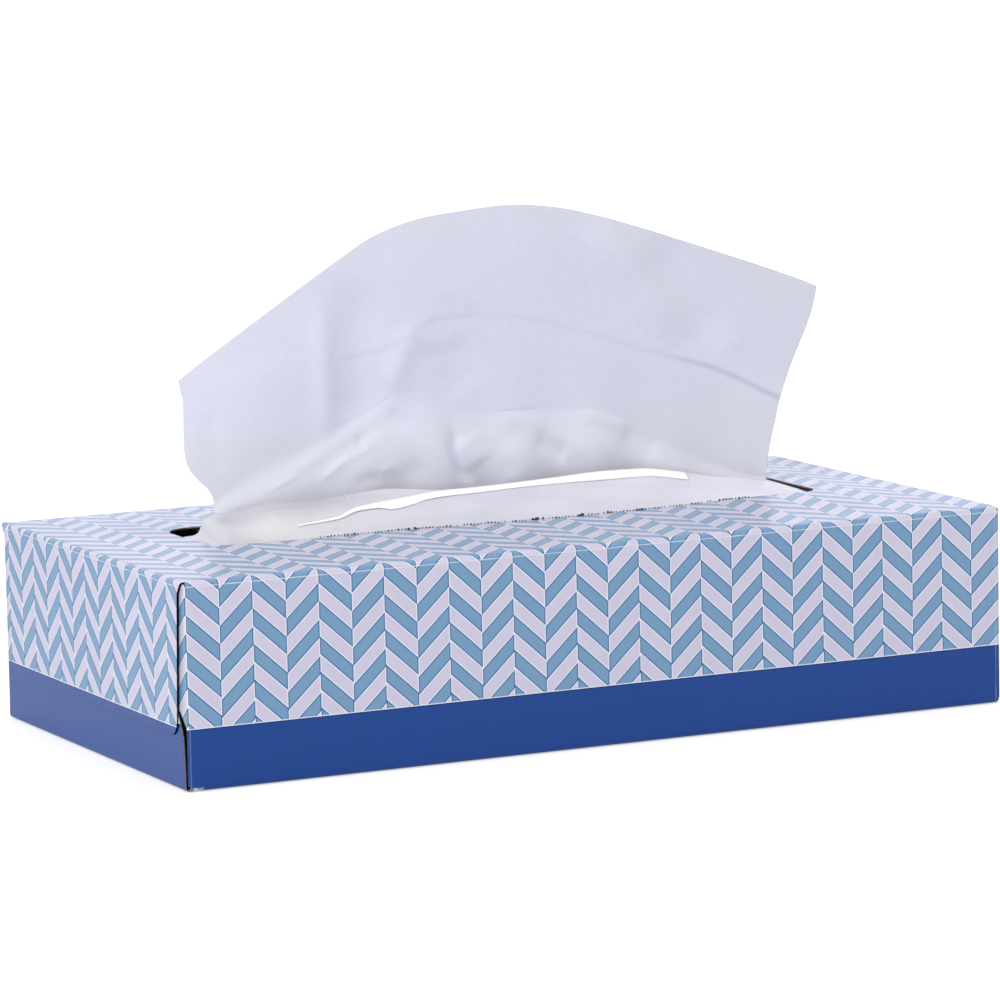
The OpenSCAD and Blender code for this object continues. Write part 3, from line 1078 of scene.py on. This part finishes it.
@dataclass
class Film:
    """The slit film: flat under the board, pushed up round the sheets."""

    carton: Carton
    thickness: float = 0.12
    half_l: float = 102.0
    half_d: float = 33.0
    flat_z: float = 51.3
    slit_from: float = -88.5
    slit_to: float = 87.5
    rear_from: float = -77.0
    tips_from: float = 80.0
    tuck: float = 0.3
    columns_n: int = 220
    rows_n: int = 14
    hem_rows: int = 7
    lip_z: Stations = (
        (-88.5, 52.4), (-87.2, 52.7), (-85.6, 52.8), (-84.9, 53.2), (-84.4, 54.0),
        (-84.1, 55.6), (-83.7, 57.2), (-82.8, 58.2), (-81.4, 58.9), (-77.0, 59.5),
        (-65.3, 60.9), (-56.0, 60.7), (-47.9, 61.3), (-35.0, 62.1), (-27.0, 61.4),
        (-19.0, 60.6), (-7.8, 60.5), (15.8, 61.3), (27.6, 61.8), (39.4, 61.6),
        (52.2, 59.6), (61.0, 57.9), (73.0, 56.1), (79.5, 54.5), (82.0, 53.4), (86.9, 53.0),
        (87.5, 51.7),
    )
    lip_y: Stations = (
        (-88.5, -2.0), (-87.4, -4.4), (-85.6, -4.2), (-84.9, -3.0), (-84.4, -1.6),
        (-84.0, -0.4), (-83.0, 1.0), (-81.4, 2.6), (-77.0, 3.6), (-66.0, 4.6),
        (-57.0, 5.0), (60.0, 5.0), (74.0, 4.0), (80.0, 2.2), (82.4, -9.0), (84.0, -14.0),
        (87.5, -15.5),
    )
    rise_power: Stations = ((-88.5, 0.3), (-78.0, 0.9), (60.0, 0.9), (72.0, 0.5), (87.5, 0.3))
    hem_z: Stations = (
        (-62.5, 55.7), (-51.4, 56.7), (-44.5, 58.6), (-32.2, 59.8), (-19.0, 60.5),
        (-7.8, 60.6), (15.8, 61.4), (27.6, 61.9), (39.4, 61.7), (52.6, 59.7),
    )
    hem_w: Stations = (
        (-62.5, 0.25), (-55.0, 0.4), (-47.0, 0.8), (-39.0, 1.3), (-34.5, 2.3),
        (-30.0, 2.1), (-24.0, 1.5), (-11.0, 1.3), (1.0, 1.2), (16.0, 1.5), (28.0, 2.0),
        (39.0, 1.9), (52.6, 1.8),
    )

    def columns(self) -> Array:
        """Places along the film, dense over the slit."""
        tip = self.tips_from
        return np.concatenate(
            [
                np.linspace(-self.half_l, self.slit_from, 6)[:-1],
                np.linspace(self.slit_from, -tip, 36)[:-1],
                np.linspace(-tip, tip, self.columns_n + 1),
                np.linspace(tip, self.slit_to, 36)[1:],
                np.linspace(self.slit_to, self.half_l, 6)[1:],
            ]
        )

    def half(self, front: bool) -> Mesh:
        """The front or the rear half, from its glued border to its lip."""
        x = self.columns()
        if not front:
            x = x[x > self.rear_from]
        open_here = (x > self.slit_from) & (x < self.slit_to)
        inner = np.clip(x, self.slit_from, self.slit_to)
        if front:
            reach = through(self.lip_y, inner)
            lip_z = through(self.lip_z, inner)
            edge = self.carton.near_edge(x) - self.tuck
        else:
            closed = ease(74.0, 80.5, inner) + ease(-62.0, -76.5, inner)
            reach = mix(6.5, 17.0, closed)
            lip_z = mix(57.0, 51.5, closed) + 0.4 * wander(x, 14.0, 5.0)
            edge = np.full_like(x, self.carton.opening_half_d - self.tuck)
        reach = np.where(open_here, reach, 0.0)
        lip_z = np.where(open_here, lip_z, self.flat_z)
        flow = 0.3 * wander(x, 9.0, 2.2)
        rows = [(mix(self.half_d, edge, k / 2), self.flat_z + 0 * x) for k in (0, 1, 2)]
        steep = through(self.rise_power, x)
        sheer = [np.zeros_like(x)] * 3
        left = ease(-30.0, -52.0, x) * ease(-84.0, -79.5, x) * front
        for w in rimmed(0, 1, self.rows_n, 0.015)[1:]:
            sheer.append(ease(0.5, 1.0, w) * left)
            sag = math.sin(math.pi * w) * flow * (lip_z > 57)
            z = mix(self.flat_z, lip_z, w**steep) + sag
            rows.append((mix(edge, reach, w), z))
        sign = -1.0 if front else 1.0
        y = np.array([r[0] for r in rows]) * sign
        z = np.array([r[1] for r in rows])
        xs = np.broadcast_to(x, y.shape)
        points = np.stack([xs, y, z], axis=-1)
        return self.skin(points, 0.0, np.array(sheer))

    def skin(self, points: Array, lip: float, sheer: Array) -> Mesh:
        """A grid that faces up, with its masks.

        Args:
            points: places in millimetres, by row and column.
            lip: 1 for a folded edge, else 0.
            sheer: how see-through it is, by row and column.
        """
        bm, counts = sheet_grid(points, points[..., :2], "sheet")
        bm.normal_update()
        if sum(f.normal.z for f in bm.faces) < 0:
            bmesh.ops.reverse_faces(bm, faces=bm.faces)
        folded = bm.verts.layers.float.new("lip")
        clear = bm.verts.layers.float.new("sheer")
        for vert, (c, r) in zip(bm.verts, counts):
            vert[folded] = lip
            vert[clear] = sheer[r, c]
        return bm

    def hem(self) -> Mesh:
        """The film's curled edge, a bright band along the front half, its white partly a painted
        highlight.
        """
        x = np.linspace(self.hem_z[0][0], self.hem_z[-1][0], 180)
        top, width = through(self.hem_z, x), through(self.hem_w, x)
        lip_z, reach = through(self.lip_z, x), through(self.lip_y, x)
        edge = self.carton.near_edge(x) - self.tuck
        rows = []
        for share in np.linspace(0, 1, self.hem_rows):
            z = top - width * share
            rise = np.clip((z - self.flat_z) / (lip_z - self.flat_z), 0.05, 1.0)
            y = -mix(edge, reach, rise ** (1 / 0.9))
            curl = 0.5 * math.sin(math.pi * share) * np.clip(width, 0.0, 1.0)
            rows.append(np.stack([x, y - 0.35 - curl, z], axis=-1))
        return self.skin(np.array(rows), 1.0, np.zeros((self.hem_rows, len(x))))

    def build(self) -> Object:
        """The film as one piece."""
        made = finish_piece(
            "slit_film_sheet",
            [self.half(True), self.half(False), self.hem()],
            (SlitFilm().material(),),
            ("slit_film",),
        )
        thicken(made, self.thickness, 0.0)
        return made


@dataclass(frozen=True)
class Crease:
    """A soft ridge or hollow in a standing sheet.

    Its path is given in X and Z as the sheet stands; depth is how far the
    sheet comes forward along it, or goes back where the depth is negative.
    """

    path: Stations
    depth: float
    width: float
    fade: float = 0.3
    least: float = 0.15

    def push(self, x: Array, z: Array) -> Array:
        """How far each point of the sheet comes forward."""
        path = np.array(self.path, dtype=float)
        best = np.full(x.shape, 1e9)
        place = np.zeros(x.shape)
        lengths = np.hypot(*np.diff(path, axis=0).T)
        whole = lengths.sum()
        run = 0.0
        for a, b, size in zip(path[:-1], path[1:], lengths):
            d = (b - a) / size
            along = (x - a[0]) * d[0] + (z - a[1]) * d[1]
            held = np.clip(along, 0.0, size)
            px, pz = a[0] + d[0] * held, a[1] + d[1] * held
            gap = np.hypot(x - px, z - pz)
            closer = gap < best
            best = np.where(closer, gap, best)
            place = np.where(closer, (run + held) / whole, place)
            run += size
        ends = ease(0.0, self.fade, place) * ease(1.0, 1.0 - self.fade, place)
        return self.depth * hill(best, 0.0, self.width) * mix(self.least, 1.0, ends)


@dataclass
class SheetFoot:
    """How a sheet runs below the slit: onto the pack, out and back."""

    pack_half_l: float = 101.5
    pack_half_d: float = 52.5
    inset: float = 1.0
    bend_r: float = 3.0
    open_y: float = 12.0
    upper_z: float = 45.4

    def rows(self, foot: Array, under_z: float, end_y: float, side: float) -> list[Array]:
        """The hidden rows of points, from the sheet's far end to the slit.

        Args:
            foot: the sheet's row of points in the slit.
            under_z: height of the leaf folded back below it.
            end_y: how far out the folded leaf ends.
            side: 1 to the rear, -1 to the front.
        """
        fold_y, upper_z = self.pack_half_d - self.inset, self.upper_z
        r = (upper_z - under_z) / 2
        stations = [
            (self.bend_r * (1 - math.cos(a)), upper_z + self.bend_r * (1 - math.sin(a)), a / math.pi)
            for a in np.radians(range(0, 91, 15))
        ]
        stations += [(self.open_y * k / 4 + 3, upper_z, 0.5 + k / 8) for k in (1, 2, 3)]
        stations += [(mix(self.open_y + 3, fold_y, k / 4), upper_z, 1.0) for k in range(4)]
        stations += [
            (fold_y + r * math.sin(a), under_z + r * (1 + math.cos(a)), 1.0)
            for a in np.radians(range(0, 181, 30))
        ]
        stations += [(mix(fold_y, end_y, k / 4), under_z, 1.0) for k in range(1, 5)]
        reach = abs(foot[:, 0]).max()
        rows = []
        for out, z, share in reversed(stations):
            x = mix(foot[:, 0], foot[:, 0] / reach * self.pack_half_l, share)
            y = mix(foot[:, 1], 0.0, share) + side * out
            rows.append(np.stack([x, y, np.full_like(x, z)], axis=-1))
        return rows


def sheet_piece(
    name: str, rows: Sequence[Array], node: str, thickness: float, material: Material
) -> Object:
    """A tissue sheet from its rows of points.

    Args:
        name: the piece's name.
        rows: points in millimetres, row by row.
        node: the model's node that it stands for.
        thickness: the sheet's thickness.
        material: its finish.
    """
    points = np.array(rows)
    across = np.linalg.norm(np.diff(points, axis=1), axis=-1)
    u = np.cumsum(np.pad(across, ((0, 0), (1, 0))), axis=1)
    along = np.linalg.norm(np.diff(points, axis=0), axis=-1)
    v = np.cumsum(np.pad(along, ((1, 0), (0, 0))), axis=0)
    bm = sheet_grid(points, np.stack([u, v], axis=-1), "sheet")[0]
    bm.normal_update()
    upright = [f for f in bm.faces if f.calc_center_median().z > 0.06]
    if sum(f.normal.y for f in upright) > 0:
        bmesh.ops.reverse_faces(bm, faces=bm.faces)
    made = finish_piece(name, [bm], (material,), (node,))
    thicken(made, thickness, 0.0)
    return made


@dataclass
class PoppedSheet:
    """The sheet that stands over the box, drawn up by its middle."""

    columns_n: int = 230
    rows_n: int = 130
    film_z: float = 51.3
    gap: float = 1.3
    lean: float = 4.0
    side_fall: float = 4.5
    gather_d: float = 1.2
    roll: float = 0.7
    sight: tuple[float, float, float] = (-614.0, -1269.5, 255.3)
    thickness: float = 0.1
    under_z: float = 44.9
    under_end: float = 9.0
    fold_depth: float = 0.42
    fold_sharp: float = 0.4
    top_edge: Stations = (
        (-89.4, 93.7), (-83.2, 97.8), (-77.6, 101.3), (-66.3, 108.3), (-54.9, 115.3),
        (-43.5, 122.1), (-34.9, 126.9), (-26.3, 129.8), (-20.6, 131.1), (-14.8, 131.8),
        (-9.1, 132.3), (-3.3, 132.8), (2.5, 133.1), (8.3, 133.0), (14.1, 132.4),
        (20.0, 131.5), (31.7, 128.6), (43.4, 125.0), (55.3, 121.0), (67.2, 116.9),
        (79.3, 112.7), (91.4, 108.2), (96.3, 106.2),
    )
    left_edge: Stations = (
        (0.0, -81.5), (0.1, -80.6), (0.255, -80.7), (0.32, -82.0), (0.385, -84.7),
        (0.45, -87.0), (0.51, -88.0), (0.6, -88.5), (0.87, -88.4), (0.94, -89.1),
        (1.0, -89.5),
    )
    right_edge: Stations = (
        (0.0, 79.6), (0.1, 80.2), (0.21, 81.1), (0.26, 81.7), (0.353, 83.1), (0.45, 84.5),
        (0.545, 86.4), (0.641, 88.6), (0.736, 91.2), (0.832, 93.7), (0.927, 95.5),
        (0.976, 96.1), (1.0, 96.3),
    )
    creases: tuple[Crease, ...] = (
        Crease(((-49.5, 113.6), (-48.8, 96.1), (-48.6, 80.5), (-50.6, 72.4)), 1.0, 3.2),
        Crease(((-39.8, 119.3), (-39.2, 103.3), (-38.7, 88.0), (-40.5, 71.0)), -2.1, 7.0),
        Crease(((-19.9, 105.1), (-26.1, 97.1), (-30.4, 84.7)), 1.0, 3.6),
        Crease(((-14.0, 100.0), (-12.0, 90.0), (-8.0, 84.0)), -0.8, 7.0),
        Crease(((-16.5, 114.2), (-9.7, 110.7), (-4.6, 105.6)), 0.35, 3.0),
        Crease(((25.4, 129.9), (41.0, 113.6), (57.4, 92.6)), 1.8, 6.0),
        Crease(((42.2, 122.1), (56.8, 104.7), (70.1, 90.0)), -1.8, 8.0),
        Crease(((-81.2, 88.1), (-80.2, 76.2), (-78.2, 67.3)), -0.4, 3.0),
        Crease(((-69.5, 100.1), (-66.6, 81.9), (-64.8, 68.8)), 0.5, 12.0),
    )
    fold_line: Stations = (
        (-49.1, 95.6), (-33.2, 97.6), (-24.3, 100.9), (-15.6, 105.0), (1.7, 104.4),
        (22.1, 99.9), (39.7, 94.0), (56.0, 88.9), (63.5, 86.7), (74.0, 82.0), (84.0, 76.9),
    )

    def spot(self, u: Array, v: Array) -> tuple[Array, Array, Array]:
        """X, depth and Z of a point of the sheet, as the picture shows it.

        Args:
            u: share from the left edge to the right.
            v: share from the slit to the top edge.
        """
        left, right = through(self.left_edge, v), through(self.right_edge, v)
        x = mix(left, right, u)
        top_x = mix(self.left_edge[-1][1], self.right_edge[-1][1], u)
        high = through(self.top_edge, top_x) - self.film_z
        z = self.film_z + high * v
        gathers = self.gather_d * np.sin(14 * math.pi * u) * 4 * u * (1 - u)
        y = (
            self.gap / 2
            + self.lean * v
            + self.side_fall * (2 * u - 1) ** 2 * v**1.5
            + gathers * (1 - v) ** 3
        )
        for crease in self.creases:
            y = y - crease.push(x, z) * ease(0.02, 0.3, v)
        spots = zip(np.ravel(x), np.ravel(z))
        rolls = [noise.noise(Vector((a / 26.0, b / 34.0, 4.4))) for a, b in spots]
        y = y - self.roll * np.array(rolls).reshape(x.shape) * ease(0.0, 0.3, v)
        line = through(self.fold_line, x)
        share = mix(0.25, 1.0, ease(48, 62, x)) * ease(-50, -40, x)
        step = self.fold_depth * np.tanh((z - line) / self.fold_sharp)
        y = y - step * hill(z, line, 3.0) * share
        return x, y, z

    def stand(self, x: Array, y: Array, z: Array) -> Array:
        """Places points so that their depth leaves the outline as measured."""
        sx, sy, sz = self.sight
        back = y / -sy
        return np.stack([x + (x - sx) * back, y, z + (z - sz) * back], axis=-1)

    def point(self, u: Array, v: Array) -> Array:
        """A point of the standing sheet."""
        return self.stand(*self.spot(u, v))

    def build(self, tissue: Material) -> Object:
        """The sheet, standing and with its hidden part on the pack."""
        u = rimmed(0, 1, self.columns_n, 0.001)
        standing = [self.point(u, np.full_like(u, v)) for v in rimmed(0, 1, self.rows_n, 0.001)]
        hidden = SheetFoot().rows(standing[0], self.under_z, self.under_end, 1.0)
        made = sheet_piece(
            "popped_sheet", hidden[:-1] + standing, "popped_tissue", self.thickness, tissue
        )
        return made


@dataclass
class NextSheet:
    """The sheet behind the film's front lip, partly drawn up as a soft hump."""

    sheet: PoppedSheet
    columns_n: int = 220
    rows_n: int = 56
    gap: float = 1.3
    puff: float = 1.2
    thickness: float = 0.08
    under_z: float = 44.4
    under_end: float = -51.5
    edge_gap: float = 0.11
    contour: Stations = (
        (-83.1, 60.5), (-77.4, 64.5), (-65.6, 70.0), (-52.5, 75.0), (-43.4, 78.4),
        (-36.5, 81.3), (-27.8, 85.3), (-21.5, 86.2), (-13.6, 81.6), (-4.7, 79.6),
        (7.0, 79.0), (18.7, 79.9), (28.1, 78.4), (39.9, 73.4), (48.2, 68.0), (60.1, 62.3),
        (72.1, 57.5), (80.0, 55.5),
    )
    creases: tuple[Crease, ...] = (
        Crease(((-65.8, 64.2), (-52.7, 70.4), (-35.1, 80.1), (-27.0, 85.7)), 0.45, 2.0),
        Crease(((-50.0, 65.3), (-41.6, 70.4), (-32.4, 74.9)), 0.4, 1.5),
        Crease(((-65.5, 63.1), (-60.8, 65.2), (-56.7, 66.8)), 0.22, 0.7),
        Crease(((-50.9, 64.6), (-46.4, 67.8), (-41.8, 71.1)), 0.26, 0.8),
        Crease(((-12.8, 76.4), (-12.2, 69.8), (-10.4, 64.5), (-6.5, 60.8)), -1.4, 1.8),
        Crease(((-8.8, 74.4), (-7.2, 70.1), (-3.8, 65.1)), 1.0, 3.4),
        Crease(((10.3, 71.4), (15.5, 68.4), (21.4, 65.5)), -1.1, 2.8),
        Crease(((-0.7, 76.5), (6.9, 76.9), (16.2, 73.6)), 0.7, 2.5),
        Crease(((15.8, 79.2), (19.9, 80.5), (28.1, 78.6), (39.9, 73.4)), -0.6, 1.6),
        Crease(((23.4, 77.6), (31.6, 75.1), (39.9, 71.3)), 0.7, 2.0),
        Crease(((35.7, 70.6), (42.2, 67.4), (48.1, 64.8)), -0.8, 4.0),
        Crease(((-31.1, 81.3), (-27.7, 78.7), (-25.5, 76.2)), -0.6, 2.0),
        Crease(((-38.3, 76.6), (-39.0, 74.1), (-37.6, 71.9)), -0.6, 1.6),
        Crease(((-41.8, 62.8), (-37.8, 64.1), (-32.7, 64.7)), -0.4, 1.8),
        Crease(((-28.1, 63.8), (-23.5, 65.6), (-20.0, 67.4)), -0.4, 3.0),
        Crease(((-34.4, 65.4), (-30.3, 67.1), (-27.5, 64.8)), 0.4, 1.6),
        Crease(((1.0, 74.2), (2.0, 67.5), (4.2, 60.8)), -0.5, 3.5),
    )

    def point(self, u: Array, w: Array) -> Array:
        """A point of the hump, at a share w from the slit to its edge."""
        sheet = self.sheet
        foot = mix(sheet.left_edge[0][1], sheet.right_edge[0][1], u)
        high = through(self.contour, foot) - sheet.film_z
        top_x = mix(sheet.left_edge[-1][1], sheet.right_edge[-1][1], u)
        full = through(sheet.top_edge, top_x) - sheet.film_z
        x, y, z = sheet.spot(u, w * high / full)
        puff = self.puff * ease(0.1, 0.55, w) * np.sin(math.pi * u) ** 0.6
        loose = ease(1.0, 0.55, w)
        ahead = mix(self.edge_gap, self.gap + puff, loose)
        for crease in self.creases:
            ahead = ahead + crease.push(x, z) * ease(0.05, 0.3, w)
        return sheet.stand(x, y - np.maximum(ahead, self.edge_gap), z)

    def build(self, tissue: Material) -> Object:
        """The sheet, standing and with its hidden part on the pack."""
        u = rimmed(0, 1, self.columns_n, 0.001)
        standing = [self.point(u, np.full_like(u, w)) for w in rimmed(0, 1, self.rows_n, 0.003)]
        hidden = SheetFoot().rows(standing[0], self.under_z, self.under_end, -1.0)
        made = sheet_piece(
            "next_sheet", hidden[:-1] + standing, "next_tissue", self.thickness, tissue
        )
        return made


@dataclass
class Studio:
    """Pale floor, white surround, soft lamps and the picture's camera."""

    eye: tuple[float, float, float] = (-613.96, -1269.52, 255.33)
    azimuth: float = 25.8316
    fall: float = 8.0541
    roll: float = -1.1828
    focal_px: float = 5433.8
    image_px: float = 1000.0
    sensor: float = 36.0
    ambient: float = 0.36
    ambient_rear: float = 1.0
    behind: float = 1.2
    ahead: float = 0.36
    mirrored_white: Colour = (1.0, 1.0, 1.14)
    floor_dim: Colour = (0.66, 0.66, 0.66)
    floor_pale: Colour = (0.68, 0.68, 0.68)
    mirrored_floor: Colour = (0.8, 0.97, 1.45)
    mirrored_glow: float = 0.28

    def camera(self) -> Object:
        """The camera, where the photograph was taken from."""
        data = bpy.data.cameras.new("camera")
        data.sensor_width = self.sensor
        data.lens = self.focal_px / self.image_px * self.sensor
        data.clip_start, data.clip_end = 0.05, 50.0
        made = new_object("camera", data)
        made.location = Vector(self.eye) * MM
        turn = (
            Matrix.Rotation(math.radians(-self.azimuth), 3, "Z")
            @ Matrix.Rotation(math.radians(90.0 - self.fall), 3, "X")
            @ Matrix.Rotation(math.radians(self.roll), 3, "Z")
        )
        made.rotation_euler = turn.to_euler()
        bpy.context.scene.camera = made
        return made

    def white_world(self) -> None:
        """Even ambient light, and plain white where it is looked at."""
        world = bpy.data.worlds.new("surround")
        bpy.context.scene.world = world
        world.use_nodes = True
        g = Graph(world.node_tree)
        path = g.node("ShaderNodeLightPath")
        seen = g.most(
            path.outputs["Is Camera Ray"],
            g.most(path.outputs["Is Glossy Ray"], path.outputs["Is Transmission Ray"]),
        )
        to_rear = g.axes(g.node("ShaderNodeTexCoord").outputs["Generated"])[1]
        rear = g.step(to_rear, -0.35, 0.1)
        round_light = g.choose(g.step(to_rear, 0.0, 0.7), self.ambient, self.ambient_rear)
        back = world.node_tree.nodes["Background"]
        looked_at = path.outputs["Is Camera Ray"]
        colour = g.blend(looked_at, self.mirrored_white, WHITE)
        g.feed(back.inputs["Color"], g.blend(seen, WHITE, colour))
        mirrored = g.choose(rear, self.ahead, self.behind)
        seen_level = g.choose(looked_at, mirrored, 1.0)
        g.feed(back.inputs["Strength"], g.choose(seen, round_light, seen_level))

    def floor(self) -> Object:
        """The pale floor, which keeps the object's shadow."""
        bm = bmesh.new()
        bmesh.ops.create_grid(bm, x_segments=1, y_segments=1, size=6.0)
        bmesh.ops.translate(bm, vec=(0, 0, -0.0002), verts=bm.verts)
        mesh = bpy.data.meshes.new("floor")
        bm.to_mesh(mesh)
        bm.free()
        made = new_object("floor", mesh)
        material, g, shader = new_material("pale_floor")
        place = g.object_place()
        mottle = g.grain(place, 3.0, 2.0)
        g.feed(shader.inputs["Base Color"], g.blend(mottle, self.floor_dim, self.floor_pale))
        shader.inputs["Roughness"].default_value = 0.7
        path = g.node("ShaderNodeLightPath")
        away = g.node("ShaderNodeVectorMath", operation="LENGTH")
        g.feed(away.inputs[0], place)
        near = g.choose(g.step(away.outputs["Value"], 0.2, 1.2), 0.5, 1.0)
        glow = g.times(path.outputs["Is Camera Ray"], near)
        glossy = path.outputs["Is Glossy Ray"]
        glow = g.most(glow, g.times(glossy, self.mirrored_glow))
        g.feed(shader.inputs["Emission Color"], g.blend(glossy, WHITE, self.mirrored_floor))
        g.feed(shader.inputs["Emission Strength"], glow)
        mesh.materials.append(material)
        return made

    def lamp(self, name: str, place: tuple[float, float, float], size: float, watts: float) -> None:
        """A square softbox that looks at the box.

        Args:
            name: the lamp's name.
            place: where it hangs, in metres.
            size: its side, in metres.
            watts: its power.
        """
        data = bpy.data.lights.new(name, "AREA")
        data.shape = "SQUARE"
        data.size = size
        data.energy = watts
        made = new_object(name, data)
        made.location = place
        look = Vector((0.0, 0.0, 0.06)) - Vector(place)
        made.rotation_euler = look.to_track_quat("-Z", "Y").to_euler()

    def build(self) -> None:
        """Sets the whole studio up."""
        self.camera()
        self.white_world()
        self.floor()
        self.lamp("key", (-1.72, -1.3, 1.0), 1.0, 35.4)
        self.lamp("fill", (1.6, -1.0, 0.9), 1.2, 12.0)
        self.lamp("top", (0.0, -0.35, 2.0), 1.2, 6.5)
        bpy.context.scene.view_settings.view_transform = "Standard"


def main() -> None:
    """Builds the dressed box, piece by piece, and its studio."""
    logging.basicConfig(level=logging.INFO, format="%(name)s: %(message)s")
    Studio().build()
    tissue = Tissue().material()
    carton = Carton()
    popped = PoppedSheet()
    makers: tuple[tuple[str, Callable[[], Object]], ...] = (
        ("carton", carton.build),
        ("torn perforation", TornFibres(carton).build),
        ("slit film", Film(carton).build),
        ("popped sheet", lambda: popped.build(tissue)),
        ("next sheet", lambda: NextSheet(sheet=popped).build(tissue)),
    )
    for name, make in makers:
        made = make()
        log.info("%s: %d faces", name, len(made.data.polygons))
    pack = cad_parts["tissue_stack"]
    pack.data.materials.clear()
    pack.data.materials.append(FoldedPack().material())


if __name__ == "__main__":
    main()
